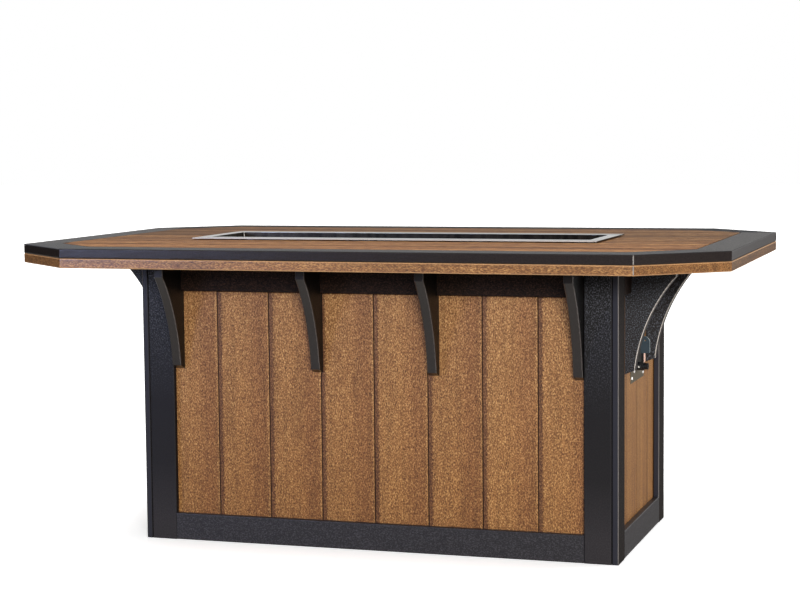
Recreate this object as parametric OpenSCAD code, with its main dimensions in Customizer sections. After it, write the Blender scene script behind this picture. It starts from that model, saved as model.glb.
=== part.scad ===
// Ice bucket table: a board-clad base carries a clipped-corner deck with a drop-in
// ice trough, and curved corbels prop the overhang on all four sides.
// Millimetres, +Z up, origin on the floor under the middle of the base, front towards -Y.

/* [Deck] */
// Height of the deck above the floor
table_h = 766; // [740:1:1070]
// Length of the deck
top_len = 1804; // [1790:1:2000]
// Depth of the deck
top_dep = 1164; // [1150:1:1300]
// Cut-back of each clipped corner along the length
clip_len = 193; // [170:1:210]
// Cut-back of each clipped corner along the depth
clip_dep = 178; // [160:1:200]
// Thickness of the boards in the deck's upper layer
deck_t = 24; // [19:0.5:30]
// Thickness of the boards in the band under the deck
band_t = 24; // [19:0.5:30]
// Width of the dark boards that frame the deck
border_w = 89; // [75:1:100]
// Width of the boards in the band under the deck
band_w = 140; // [120:1:150]
// Number of plank rows inside the border
plank_rows = 7; // [5:2:9]
// Width of the battens over the corbels
batten_w = 89; // [60:1:100]
// Radius of the eased edges on the deck's boards
deck_ease_r = 3; // [1:0.5:5]
// Radius of the deck's upright corners
deck_corner_r = 5; // [2:0.5:10]
// Gap between neighbouring planks
plank_gap = 1.8; // [1:0.1:4]

/* [Base] */
// Length of the base over its trim
base_len = 1240; // [1230:1:1300]
// Depth of the base over its trim
base_dep = 610; // [600:1:680]
// Thickness of the dark trim boards
trim_t = 16; // [12:0.5:20]
// Width of the corner boards on the front and back
long_corner_w = 69; // [60:1:90]
// Width of the corner boards on the two ends
end_corner_w = 75; // [65:1:95]
// Height of the bottom rails
rail_h = 69; // [50:1:100]
// Height of the headers under the deck
header_h = 75; // [60:1:90]
// Side of the square posts behind the corner boards
post_w = 45; // [38:1:52]
// Side of the square nailers that hold the boards from inside
nailer_w = 38; // [30:1:45]
// Height of the bottom nailers above the floor
nailer_lift = 12; // [5:1:30]
// Radius of the eased edges on the trim boards
ease_r = 3; // [1:0.5:5]
// Gap where the end of one board meets another board
butt_gap = 0.5; // [0.2:0.1:0.9]

/* [Cladding boards] */
// Face width of one tongue-and-groove board
board_w = 139.7; // [120:0.1:160]
// Thickness of the boards
board_t = 19; // [16:0.5:24]
// Height of the boards' lower ends above the floor
board_lift = 6; // [2:1:20]
// Length of a tongue
tongue_l = 8; // [5:0.5:11]
// Thickness of a tongue
tongue_t = 6; // [4:0.5:8]
// Slack of a tongue in its groove
tongue_slack = 0.4; // [0.2:0.1:0.8]
// Gap between the faces of two boards
board_gap = 0.6; // [0.3:0.1:1.5]
// Bevel along each board's visible edges
board_bevel = 1.6; // [0.5:0.1:3]

/* [Corbels] */
// Thickness of a corbel
corbel_t = 24; // [18:0.5:30]
// Reach of a corbel from the boards
corbel_reach = 127; // [110:1:140]
// Height of a corbel at the boards
corbel_h = 275; // [250:1:320]
// Height of the upright nose
nose_h = 32; // [20:1:40]
// Reach of the toe from the boards
toe_reach = 25; // [22:0.5:30]
// Rise of the toe's cut end away from the boards
toe_rise = 10; // [4:1:16]
// Radius of the hollow curve
curve_r = 422; // [380:1:600]
// Radius of the eased edges along the curve
corbel_ease_r = 2.5; // [1:0.5:4]
// Distance of the inner long-side corbels from the middle
inner_corbel_x = 152; // [120:1:220]
// Shift of the inner corbels to the right, seen from their side
inner_corbel_shift = 6; // [0:1:15]
// Distance of the end corbels from the middle
end_corbel_y = 137; // [110:1:160]

/* [Corbel screws] */
// Diameter of the screws that hold the corbels from inside
screw_d = 5; // [4:0.5:6]
// Diameter of the screw heads
screw_head_d = 10; // [8:0.5:12]
// Height of the screw heads
screw_head_h = 3; // [2:0.5:4]
// Depth of the screws in a corbel
screw_bite = 19; // [14:1:20]
// Distance of the upper screws below the deck's underside
upper_screw = 110; // [100:1:130]
// Distance of the lower screws below the deck's underside
lower_screw = 215; // [190:1:235]
// Slack around a screw in its hole
screw_slack = 0.15; // [0.1:0.05:0.3]

/* [Ice trough] */
// Length of the trough's flange
flange_len = 1077; // [1040:1:1090]
// Depth of the trough's flange
flange_dep = 338; // [320:1:400]
// Width of the flange at the trough's ends
flange_end_w = 28; // [20:1:36]
// Width of the flange along the trough's long sides
flange_side_w = 56; // [40:1:60]
// Height of the flange's top above the deck
flange_h = 5.2; // [4:0.1:7]
// Height of the flange's turned-down rim
hem_h = 2.2; // [1.8:0.1:3]
// Thickness of the sheet
sheet_t = 1.5; // [1:0.1:1.8]
// Depth of the trough below the deck at its shallow end
trough_depth = 203; // [150:1:220]
// Fall of the trough's floor towards the drain
trough_fall = 8; // [4:1:15]
// Radius of the tub's upright corners
tub_r = 6; // [4:0.5:20]
// Clearance around the tub in the deck
tub_gap = 4; // [2:0.5:8]
// Width of the seal under the flange
seal_w = 12; // [8:1:16]

/* [Drain] */
// Distance of the drain from the middle of the trough
drain_x = 440; // [400:1:450]
// Flat floor kept around the drain's flange
drain_land = 4; // [2:1:8]
// Diameter of the drain's flange
drain_flange_d = 80; // [74:1:90]
// Thickness of the drain's flange
drain_flange_t = 2.5; // [2:0.5:4]
// Outer diameter of the drain's threaded spigot
spigot_d = 44; // [42:0.5:48]
// Wall of the spigot
spigot_wall = 4; // [3:0.5:5]
// Length of the spigot below the trough
spigot_len = 45; // [42:1:50]
// Thickness of the drain's gasket
gasket_t = 3; // [2:0.5:4]
// Diameter of the drain's gasket
gasket_d = 60; // [56:1:64]
// Thickness of the drain's locknut
locknut_t = 10; // [8:1:12]
// Width of the locknut across its corners
locknut_d = 64; // [60:1:70]
// Diameter of the strainer
strainer_d = 56; // [52:1:60]
// Clearance around the strainer
strainer_gap = 0.3; // [0.2:0.1:0.8]
// Thickness of the strainer
strainer_t = 1.6; // [1:0.2:2]
// Diameter of the holes in the strainer
strainer_hole_d = 4; // [3:0.5:4.5]
// Distance from ring to ring of the strainer's holes
strainer_pitch = 7.5; // [7:0.1:7.8]
// Outer diameter of the pipe to the valve
pipe_d = 26.7; // [25:0.1:30]
// Wall of the pipe
pipe_wall = 2.9; // [2:0.1:4]
// Wall of the sockets that hold the pipe
socket_wall = 4; // [3:0.5:5]
// Depth of each pipe socket
socket_l = 20; // [15:1:24]
// Radius of the elbow's bend at its middle
bend_r = 30; // [26:1:34]
// Radial slack of a pipe or spigot in its socket
pipe_slack = 0.15; // [0.1:0.05:0.3]

/* [Drain valve] */
// Fall from the lower end of the drain's spigot to the valve's axis
valve_fall = 62.5; // [56:0.5:75]
// Diameter of the valve body outside the wall
valve_d = 22; // [21:0.5:26]
// Length of the valve body outside its plate
valve_len = 16; // [16:0.5:22]
// Diameter of the valve's shank through the wall
shank_d = 18; // [16:0.5:20]
// Radial slack of the shank in the wall and the plate
shank_slack = 0.5; // [0.3:0.1:1]
// Length of the shank beyond the wall's inner face
shank_tail = 24; // [20:1:30]
// Diameter of the waterway
water_d = 8; // [6:0.5:9]
// Diameter of the ball
ball_d = 13; // [12:0.5:14]
// Distance of the ball's middle from the boards' face
ball_x = 9.5; // [9.5:0.1:10]
// Diameter of the chamber around the ball
chamber_d = 17; // [16:0.5:18]
// Thickness of each ball seat
seat_t = 1.6; // [1.2:0.1:2]
// Diameter of the stem
stem_d = 5; // [4:0.5:6]
// Thickness of the tang that turns the ball
tang_t = 2.2; // [1.6:0.1:3]
// Depth of the tang in the ball's slot
tang_l = 1.6; // [1.2:0.1:2]
// Slack around the tang in its slot
tang_slack = 0.1; // [0.05:0.01:0.2]
// Diameter of the stem's boss
boss_d = 12; // [10:0.5:14]
// Reach of the boss from the valve's axis
boss_reach = 13.4; // [13:0.1:16]
// Outer diameter of the hose outlet
outlet_d = 17; // [14:0.5:18]
// Length of the hose outlet's spigot
outlet_len = 10; // [8:0.5:20]
// Diameter of the outlet's collar
collar_d = 20.5; // [19:0.5:24]
// Thickness of the outlet's collar
collar_t = 2; // [1.5:0.5:4]
// Running slack of the ball and the stem in what holds them
turn_slack = 0.1; // [0.05:0.01:0.1]

/* [Valve lever] */
// Thickness of the lever's strip
lever_t = 1.8; // [1.5:0.1:3]
// Width of the lever's shank
lever_w = 10; // [6:0.5:10]
// Radius of the lever's hub
hub_r = 6.5; // [6:0.1:7]
// Clearance between the lever and the boss
lever_gap = 0.4; // [0.2:0.1:1]
// Height above the stem at which the lever's crank ends
crank_top = 15; // [10:1:20]
// Lean of the lever's upper part away from the wall
lever_lean = 10.5; // [9:0.5:12]
// Length of the lever inside its grip
lever_end = 22; // [15:1:24]
// Height of the grip's lower end above the stem
grip_low = 35; // [28:1:40]
// Height of the grip's tip above the stem
grip_top = 78; // [70:1:90]
// Width of the grip
grip_w = 23; // [20:0.5:25]
// Lean of the grip's middle away from the wall
grip_lean = 15.5; // [14:0.5:16]
// Thickness of the grip
grip_t = 5; // [4:0.5:7]
// Radius of the grip's corners
grip_r = 3; // [2:0.5:5]
// Radius of the grip's outer shoulder
shoulder_r = 15; // [8:0.5:17]
// Diameter of the hanging hole in the grip
grip_hole_d = 4; // [3:0.5:5]
// Distance of the hanging hole below the grip's tip
grip_hole_drop = 11; // [8:0.5:14]
// Height of the lever's nut
nut_h = 4; // [3:0.5:5]
// Width of the lever's nut across its corners
nut_d = 9; // [8:0.5:10]

/* [Valve plate] */
// Width of the plate around the valve
plate_w = 171; // [150:1:190]
// Height of the plate
plate_h = 124; // [100:1:140]
// Thickness of the plate
plate_t = 2; // [1.5:0.1:3]
// Height of the valve's axis above the plate's lower edge
plate_drop = 35; // [30:1:45]
// Distance of the corner screws from the plate's sides
plate_side = 14.5; // [10:0.5:20]
// Distance of the corner screws from the plate's lower and upper edges
plate_edge = 12; // [9:0.5:16]
// Distance of the two middle screws from the valve's axis
middle_screw_y = 44; // [36:1:50]
// Distance of the two middle screws below the valve's axis
middle_screw_z = 8; // [0:1:14]
// Diameter of the plate's screws
plate_screw_d = 4; // [3:0.5:5]
// Length of the plate's screws in the boards
plate_screw_l = 14; // [10:1:16]
// Diameter of the plate's screw heads
plate_head_d = 8; // [7:0.5:9]
// Height of the plate's screw heads
plate_head_h = 2.4; // [2:0.2:3]

/* [Hidden] */
$fn = 48;
overcut = 1;
deck_under = table_h - deck_t;
band_under = deck_under - band_t;
half_len = base_len / 2;
half_dep = base_dep / 2;
face_x = half_len - trim_t;
face_y = half_dep - trim_t;
long_half = face_x - post_w;
end_half = face_y - post_w;
long_trim_half = face_x - long_corner_w;
end_trim_half = half_dep - end_corner_w;
tub_len = flange_len - 2 * flange_end_w;
tub_dep = flange_dep - 2 * flange_side_w;
flange_top = table_h + flange_h;
floor_high = table_h - trough_depth;
floor_low = floor_high - trough_fall;
well_start = drain_x - drain_flange_d / 2 - drain_land;
spigot_low = floor_low - sheet_t - spigot_len;
valve_z = spigot_low - valve_fall;
outer_corbel_x = long_trim_half - corbel_t / 2;
long_corbel_xs = [-outer_corbel_x, inner_corbel_shift - inner_corbel_x,
                  inner_corbel_shift + inner_corbel_x, outer_corbel_x];
pipe_bore = pipe_d - 2 * pipe_wall;
socket_d = pipe_d + 2 * socket_wall;
spigot_bore = spigot_d - 2 * spigot_wall;
hole_len = tub_len + 2 * tub_gap;
hole_dep = tub_dep + 2 * tub_gap;
stem_x = face_x + ball_x;
body_end = face_x + plate_t + valve_len;
inner_wall_x = face_x - board_t;
shank_end = inner_wall_x - shank_tail;
coupling_l = shank_tail + socket_l;
seat_x = sqrt(pow(ball_d / 2, 2) - pow(water_d / 2, 2));
chamber_start = ball_x - seat_x - seat_t;
plug_start = ball_x + seat_x + seat_t;
tang_top = ball_d / 2 - tang_l;
lever_y = boss_reach + lever_gap;
plate_low = valve_z - plate_drop;
last_row = (plank_rows - 1) / 2;

// Colours of the real finishes
dark = "#2b2a2c";
brown = "#9a6b47";
steel = "silver";
pvc = "whitesmoke";

// Corners of the deck's eight-sided outline, drawn in by w, from the right edge round
function ring_points(w) =
    let (a = top_len / 2, b = top_dep / 2, slant = norm([clip_len, clip_dep]),
         y = b - clip_dep - w * (slant - clip_dep) / clip_len,
         x = a - clip_len - w * (slant - clip_len) / clip_dep)
    [[a - w, -y], [a - w, y], [x, b - w], [-x, b - w],
     [w - a, y], [w - a, -y], [-x, w - b], [x, w - b]];

// Rectangle with round corners, made of squares and circles
module round_rect(l, w, r) {
    square([l - 2 * r, w], center = true);
    square([l, w - 2 * r], center = true);
    for (x = [-1, 1], y = [-1, 1])
        translate([x * (l / 2 - r), y * (w / 2 - r)])
            circle(r);
}

// Bar along +X from the origin, l long, its section w by t with eased edges
module eased_bar(l, w, t, r) {
    rotate([90, 0, 90])
        linear_extrude(l)
            translate([w / 2, t / 2])
                round_rect(w, t, r);
}

// Point at distance d from p towards q
function toward(p, q, d) = p + d * (q - p) / norm(q - p);

// The deck's outline with its eight corners rounded: flats between the corners, and circles
module deck_outline() {
    outer = ring_points(0);
    inner = ring_points(deck_corner_r);
    polygon([for (i = [0 : 7], k = [0, 1])
        let (a = inner[i], b = k == 0 ? outer[(i + 7) % 8] : outer[(i + 1) % 8],
             c = outer[i], cut = sqrt((a - c) * (a - c) - deck_corner_r * deck_corner_r))
        toward(c, b, cut)]);
    for (middle = inner)
        translate(middle)
            circle(deck_corner_r);
}

// One mitred board of a ring of width w, along side i of the outline
module ring_board(i, w, low, t) {
    outer = ring_points(0);
    inner = ring_points(w);
    j = (i + 1) % 8;
    way = outer[j] - outer[i];
    intersection() {
        translate([0, 0, low])
            linear_extrude(t)
                intersection() {
                    polygon([outer[i], outer[j], inner[j], inner[i]]);
                    deck_outline();
                }
        translate([outer[i][0], outer[i][1], low])
            rotate([0, 0, atan2(way[1], way[0])])
                eased_bar(norm(way), w, t, deck_ease_r);
    }
}

module border_board(i) {
    color(dark)
        ring_board(i, border_w, deck_under, deck_t);
}

module band_board(i) {
    color(brown)
        ring_board(i, band_w, band_under, band_t);
}

// Edges of the boards across a wall of half width h: whole boards from the middle out
function board_edges(h) =
    let (n = ceil(h / board_w - 0.2))
    [for (k = [-n : n]) abs(k) == n ? sign(k) * h : k * board_w];

// Section of one tongue-and-groove board, its face on y = 0
module board_section(x0, x1, grooved, tongued) {
    mid = board_t / 2;
    g = tongue_t / 2 + tongue_slack;
    depth = tongue_l + tongue_slack;
    a = x0 + board_gap / 2;
    b = x1 - board_gap / 2;
    difference() {
        union() {
            polygon([[a + board_bevel, 0], [b - board_bevel, 0], [b, board_bevel],
                     [b, board_t], [a, board_t], [a, board_bevel]]);
            if (tongued)
                translate([b - overcut, mid - tongue_t / 2])
                    square([tongue_l + overcut, tongue_t]);
        }
        if (grooved)
            translate([a - overcut, mid - g])
                square([depth + board_gap + overcut, 2 * g]);
    }
}

// A wall of boards of half width h, its face on y = 0 towards -Y
module board_wall(h) {
    edges = board_edges(h);
    last = len(edges) - 2;
    translate([0, 0, board_lift])
        linear_extrude(band_under - board_lift)
            for (i = [0 : last])
                board_section(edges[i], edges[i + 1], i > 0, i < last);
}

// Puts a long-side piece on the front (turn 0) or the back (turn 180)
module on_long_side(turn) {
    rotate([0, 0, turn])
        children();
}

// Puts a piece drawn on the right end there (turn 0) or on the left end (turn 180)
module on_end(turn) {
    rotate([0, 0, turn])
        children();
}

module long_boards(turn) {
    color(brown)
        on_long_side(turn)
            difference() {
                translate([0, -face_y, 0])
                    board_wall(long_half);
                long_corbel_places()
                    corbel_screw_holes();
            }
}

module end_boards(turn, drilled) {
    color(brown)
        on_end(turn)
            difference() {
                translate([face_x, 0, 0])
                    rotate([0, 0, 90])
                        board_wall(end_half);
                end_corbel_places()
                    corbel_screw_holes();
                if (drilled) {
                    along_valve(inner_wall_x - overcut)
                        cylinder(d = shank_d + 2 * shank_slack, h = board_t + 2 * overcut);
                    plate_screw_places()
                        cylinder(d = plate_screw_d + 2 * screw_slack,
                                 h = plate_screw_l + screw_slack + overcut);
                }
            }
}

module corner_boards(turn_x, turn_y) {
    w = long_corner_w - butt_gap;
    color(dark)
        scale([turn_x, turn_y, 1]) {
            translate([long_trim_half + w / 2, face_y + trim_t / 2, 0])
                linear_extrude(band_under)
                    round_rect(w, trim_t, ease_r);
            translate([face_x + trim_t / 2, half_dep - end_corner_w / 2, 0])
                linear_extrude(band_under)
                    round_rect(trim_t, end_corner_w, ease_r);
        }
}

module long_trim(turn, low, h) {
    color(dark)
        on_long_side(turn)
            translate([-long_trim_half, -half_dep, low])
                eased_bar(2 * long_trim_half, trim_t, h, ease_r);
}

module end_trim(turn, low, h) {
    color(dark)
        on_end(turn)
            translate([half_len, -end_trim_half, low])
                rotate([0, 0, 90])
                    eased_bar(2 * end_trim_half, trim_t, h, ease_r);
}

module corner_posts() {
    color(dark)
        for (x = [-1, 1], y = [-1, 1])
            translate([x * (face_x - post_w / 2), y * (face_y - post_w / 2), band_under / 2])
                cube([post_w, post_w, band_under], center = true);
}

// Ring of four nailers inside the boards
module nailer_ring(low) {
    y = face_y - board_t - nailer_w;
    x = inner_wall_x - nailer_w;
    for (turn = [0, 180])
        rotate([0, 0, turn]) {
            translate([-long_half, y, low])
                cube([2 * long_half, nailer_w, nailer_w]);
            translate([x, butt_gap - y, low])
                cube([nailer_w, 2 * (y - butt_gap), nailer_w]);
        }
}

module bottom_nailers() {
    color(dark)
        nailer_ring(nailer_lift);
}

module top_nailers() {
    color(dark)
        nailer_ring(band_under - nailer_w);
}

// Middle of the circle of radius r through p and q, on the right of the way from p to q
function arc_middle(p, q, r) =
    let (mid = (p + q) / 2, way = q - p, half = norm(way) / 2)
    mid + sqrt(r * r - half * half) * [way[1], -way[0]] / norm(way);

function nose_end() = [corbel_reach, -nose_h];
function toe_end() = [toe_reach, toe_rise - corbel_h];
function curve_middle() = arc_middle(toe_end(), nose_end(), curve_r);

// Side outline of a corbel: x out from the boards, y up from the deck's underside
module corbel_outline() {
    difference() {
        polygon([[trim_t, 0], [corbel_reach, 0], nose_end(), toe_end(),
                 [0, -corbel_h], [0, -header_h], [trim_t, -header_h]]);
        translate(curve_middle())
            circle(curve_r, $fn = 240);
    }
}

// A corbel seen from above, with the upright edges of its nose eased
module corbel_plan() {
    r = corbel_ease_r;
    translate([0, -corbel_t / 2])
        square([corbel_reach - r, corbel_t]);
    translate([0, r - corbel_t / 2])
        square([corbel_reach, corbel_t - 2 * r]);
    for (y = [r - corbel_t / 2, corbel_t / 2 - r])
        translate([corbel_reach - r, y])
            circle(r);
}

// A corbel standing out along +X from the boards' face, its nose and its curve's edges eased
module corbel() {
    middle = curve_middle();
    r = corbel_ease_r;
    color(dark)
        difference() {
            intersection() {
                rotate([90, 0, 0])
                    linear_extrude(corbel_t, center = true)
                        corbel_outline();
                translate([0, 0, -corbel_h])
                    linear_extrude(corbel_h)
                        corbel_plan();
            }
            translate([middle[0], 0, middle[1]])
                rotate([90, 0, 0])
                    for (side = [0, 1])
                        mirror([0, 0, side])
                            rotate_extrude($fn = 240)
                                difference() {
                                    translate([curve_r - overcut, corbel_t / 2 - r])
                                        square([r + overcut, r + overcut]);
                                    translate([curve_r + r, corbel_t / 2 - r])
                                        circle(r);
                                }
            corbel_screw_holes();
        }
}

// Carries out at each screw of a corbel, along +X from the boards' inner face
module at_corbel_screws() {
    for (drop = [upper_screw, lower_screw])
        translate([-board_t, 0, -drop])
            rotate([0, 90, 0])
                children();
}

module corbel_screw_holes() {
    at_corbel_screws()
        translate([0, 0, -overcut])
            cylinder(d = screw_d + 2 * screw_slack,
                     h = board_t + screw_bite + screw_slack + overcut, $fn = 24);
}

// Pan-head screw along +Z, the underside of its head on z = 0
module pan_screw(d, l, head_d, head_h) {
    rotate_extrude($fn = 24)
        polygon([[0, -head_h], [head_d * 0.32, -head_h], [head_d / 2, -head_h * 0.45],
                 [head_d / 2, 0], [d / 2, 0], [d / 2, l], [0, l]]);
}

module long_corbel_places() {
    for (x = long_corbel_xs)
        translate([x, -face_y, band_under])
            rotate([0, 0, -90])
                children();
}

module end_corbel_places() {
    for (y = [-end_corbel_y, end_corbel_y])
        translate([face_x, y, band_under])
            children();
}

module corbel_screws() {
    color(steel)
        for (turn = [0, 180])
            rotate([0, 0, turn]) {
                long_corbel_places()
                    at_corbel_screws()
                        pan_screw(screw_d, board_t + screw_bite, screw_head_d, screw_head_h);
                end_corbel_places()
                    at_corbel_screws()
                        pan_screw(screw_d, board_t + screw_bite, screw_head_d, screw_head_h);
            }
}

// Battens in the band's layer: over the base's ends, beside the trough and over the corbels
module battens() {
    inner = ring_points(band_w);
    reach_x = inner[0][0];
    reach_y = inner[2][1];
    end_y = inner[1][1];
    color(brown)
        for (turn = [0, 180])
            rotate([0, 0, turn]) {
                translate([half_len, -end_y, band_under])
                    cube([reach_x - half_len, 2 * end_y, band_t]);
                translate([hole_len / 2, butt_gap - hole_dep / 2, band_under])
                    cube([half_len - butt_gap - hole_len / 2, hole_dep - 2 * butt_gap, band_t]);
                for (x = long_corbel_xs)
                    translate([-x - batten_w / 2, hole_dep / 2, band_under])
                        cube([batten_w, reach_y - hole_dep / 2, band_t]);
            }
}

// One row of deck planks, counted from the middle, cut to the border and the trough
module deck_row(k) {
    inset = border_w + plank_gap;
    width = (top_dep - 2 * inset + plank_gap) / plank_rows - plank_gap;
    color(brown)
        intersection() {
            translate([0, 0, deck_under])
                linear_extrude(deck_t)
                    difference() {
                        polygon(ring_points(inset));
                        square([hole_len, hole_dep], center = true);
                    }
            translate([-top_len / 2, k * (width + plank_gap) - width / 2, deck_under])
                eased_bar(top_len, width, deck_t, deck_ease_r);
        }
}

// The tub's space, w outside its inner faces
module tub_form(w, extra) {
    intersection() {
        translate([0, 0, floor_low - 2 * sheet_t])
            linear_extrude(flange_top - floor_low + 2 * sheet_t + extra)
                round_rect(tub_len - 2 * sheet_t + 2 * w, tub_dep - 2 * sheet_t + 2 * w,
                           tub_r - sheet_t + w);
        translate([0, tub_dep, 0])
            rotate([90, 0, 0])
                linear_extrude(2 * tub_dep)
                    polygon([[-tub_len, flange_top + extra], [-tub_len, floor_high - w],
                             [-tub_len / 2, floor_high - w], [well_start, floor_low - w],
                             [tub_len, floor_low - w], [tub_len, flange_top + extra]]);
    }
}

module ice_trough() {
    color(steel)
        difference() {
            union() {
                tub_form(sheet_t, 0);
                translate([0, 0, flange_top - sheet_t])
                    linear_extrude(sheet_t)
                        square([flange_len, flange_dep], center = true);
                translate([0, 0, flange_top - hem_h])
                    linear_extrude(hem_h)
                        difference() {
                            square([flange_len, flange_dep], center = true);
                            square([flange_len - 2 * sheet_t, flange_dep - 2 * sheet_t],
                                   center = true);
                        }
            }
            tub_form(0, overcut);
            translate([drain_x, 0, floor_low - sheet_t - overcut])
                cylinder(d = spigot_d + 2 * pipe_slack, h = sheet_t + 2 * overcut);
        }
}

module trough_seal() {
    color("#202020")
        translate([0, 0, table_h])
            linear_extrude(flange_h - sheet_t)
                difference() {
                    square([hole_len + 2 * seal_w, hole_dep + 2 * seal_w], center = true);
                    square([hole_len, hole_dep], center = true);
                }
}

// Dished drain body: flange on the trough's floor, ledge for the strainer, spigot below
module drain_flange() {
    ledge_r = strainer_d / 2 + strainer_gap;
    bore_r = spigot_bore / 2;
    top = drain_flange_t;
    ledge = top - strainer_t;
    color(steel)
        translate([drain_x, 0, floor_low])
            rotate_extrude()
                polygon([[bore_r, ledge], [bore_r, -sheet_t - spigot_len],
                         [spigot_d / 2, -sheet_t - spigot_len], [spigot_d / 2, 0],
                         [drain_flange_d / 2, 0], [drain_flange_d / 2 - top, top],
                         [ledge_r, top], [ledge_r, ledge]]);
}

module drain_gasket() {
    color("#202020")
        translate([drain_x, 0, floor_low - sheet_t - gasket_t])
            difference() {
                cylinder(d = gasket_d, h = gasket_t);
                translate([0, 0, -overcut])
                    cylinder(d = spigot_d + 2 * pipe_slack, h = gasket_t + 2 * overcut);
            }
}

module drain_locknut() {
    color(steel)
        translate([drain_x, 0, floor_low - sheet_t - gasket_t - locknut_t])
            difference() {
                cylinder(d = locknut_d, h = locknut_t, $fn = 6);
                translate([0, 0, -overcut])
                    cylinder(d = spigot_d + 2 * pipe_slack, h = locknut_t + 2 * overcut);
            }
}

// Perforated disc pressed into the drain's ledge
module drain_strainer() {
    color(steel)
        translate([drain_x, 0, floor_low + drain_flange_t - strainer_t])
            difference() {
                cylinder(d = strainer_d, h = strainer_t);
                for (ring = [1, 2])
                    for (i = [1 : 6 * ring])
                        rotate([0, 0, i * 60 / ring])
                            translate([ring * strainer_pitch, 0, -overcut])
                                cylinder(d = strainer_hole_d, h = strainer_t + 2 * overcut,
                                         $fn = 16);
                translate([0, 0, -overcut])
                    cylinder(d = strainer_hole_d, h = strainer_t + 2 * overcut, $fn = 16);
            }
}

// Body or waterway of the elbow, from the given radii: hub, bend and pipe socket
module elbow_form(hub_r, hub_low, bend_r2, socket_r2, extra) {
    bend_top = valve_z + bend_r;
    translate([drain_x, 0, hub_low])
        cylinder(r = hub_r, h = spigot_low + socket_l - hub_low + extra);
    translate([drain_x, 0, bend_top])
        cylinder(r = bend_r2, h = hub_low - bend_top + 0.01);
    translate([drain_x + bend_r, 0, bend_top])
        rotate([90, 0, 0])
            rotate([0, 0, 180])
                rotate_extrude(angle = 90)
                    translate([bend_r, 0])
                        circle(bend_r2);
    translate([drain_x + bend_r - 0.01, 0, valve_z])
        rotate([0, 90, 0])
            cylinder(r = socket_r2, h = socket_l + extra);
}

module drain_elbow() {
    hub_bore = spigot_d / 2 + pipe_slack;
    socket_bore = pipe_d / 2 + pipe_slack;
    color(pvc)
        difference() {
            elbow_form(hub_bore + socket_wall, spigot_low - socket_wall,
                       pipe_bore / 2 + socket_wall, socket_bore + socket_wall, 0);
            elbow_form(hub_bore, spigot_low, pipe_bore / 2, socket_bore, overcut);
        }
}

module drain_pipe() {
    start = drain_x + bend_r + pipe_slack;
    color(pvc)
        translate([start, 0, valve_z])
            rotate([0, 90, 0])
                difference() {
                    cylinder(d = pipe_d, h = shank_end - start - pipe_slack);
                    translate([0, 0, -overcut])
                        cylinder(d = pipe_bore, h = shank_end - start + 2 * overcut);
                }
}

// Carries out along +X on the valve's axis, from the given x
module along_valve(x) {
    translate([x, 0, valve_z])
        rotate([0, 90, 0])
            children();
}

// Coupling screwed on the shank against the wall, with a socket for the pipe behind
module valve_coupling() {
    color(pvc)
        along_valve(inner_wall_x - coupling_l)
            difference() {
                cylinder(d = socket_d, h = coupling_l);
                translate([0, 0, -overcut])
                    cylinder(r = pipe_d / 2 + pipe_slack, h = socket_l + overcut);
                cylinder(d = shank_d + 2 * pipe_slack, h = coupling_l + overcut);
            }
}

// Carries out at each screw of the valve plate, into the wall from its head's seat
module plate_screw_places() {
    y = plate_w / 2 - plate_side;
    for (p = [[-y, plate_low + plate_edge], [y, plate_low + plate_edge],
              [-y, plate_low + plate_h - plate_edge], [y, plate_low + plate_h - plate_edge],
              [-middle_screw_y, valve_z - middle_screw_z],
              [middle_screw_y, valve_z - middle_screw_z]])
        translate([face_x + plate_t, p[0], p[1]])
            rotate([0, -90, 0])
                children();
}

module valve_plate() {
    color(steel)
        difference() {
            translate([face_x, -plate_w / 2, plate_low])
                cube([plate_t, plate_w, plate_h]);
            along_valve(face_x - overcut)
                cylinder(d = shank_d + 2 * shank_slack, h = plate_t + 2 * overcut);
            plate_screw_places()
                translate([0, 0, -overcut])
                    cylinder(d = plate_screw_d + 2 * screw_slack, h = plate_t + 2 * overcut,
                             $fn = 24);
        }
}

module plate_screws() {
    color(steel)
        plate_screw_places()
            pan_screw(plate_screw_d, plate_screw_l, plate_head_d, plate_head_h);
}

// Carries out along -Y from the ball's middle, the way that the stem points
module along_stem() {
    translate([stem_x, 0, valve_z])
        rotate([90, 0, 0])
            children();
}

module valve_body() {
    color("#181a20")
        difference() {
            union() {
                along_valve(face_x + plate_t)
                    cylinder(d = valve_d, h = valve_len);
                along_valve(shank_end)
                    cylinder(d = shank_d, h = face_x + plate_t - shank_end);
                along_stem()
                    cylinder(d = boss_d, h = boss_reach);
            }
            along_valve(shank_end - overcut)
                cylinder(d = water_d, h = body_end - shank_end);
            along_valve(face_x + chamber_start)
                cylinder(d = chamber_d, h = body_end - face_x - chamber_start + overcut);
            along_stem()
                cylinder(d = stem_d + 2 * turn_slack, h = boss_reach + overcut);
        }
}

// Two rings that hold the ball by its shoulders
module valve_seats() {
    color("white")
        for (x = [chamber_start, ball_x + seat_x])
            along_valve(face_x + x)
                difference() {
                    cylinder(d = chamber_d - 2 * turn_slack, h = seat_t);
                    translate([0, 0, -overcut])
                        cylinder(d = water_d, h = seat_t + 2 * overcut);
                }
}

// Ball with its waterway upright while the valve is shut, and a slot for the stem's tang
module valve_ball() {
    slot_t = tang_t + 2 * tang_slack;
    color(steel)
        along_stem()
            difference() {
                sphere(d = ball_d - 2 * turn_slack);
                rotate([90, 0, 0])
                    cylinder(d = water_d, h = 2 * ball_d, center = true);
                translate([-ball_d, -slot_t / 2, tang_top - tang_slack])
                    cube([2 * ball_d, slot_t, ball_d]);
            }
}

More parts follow.
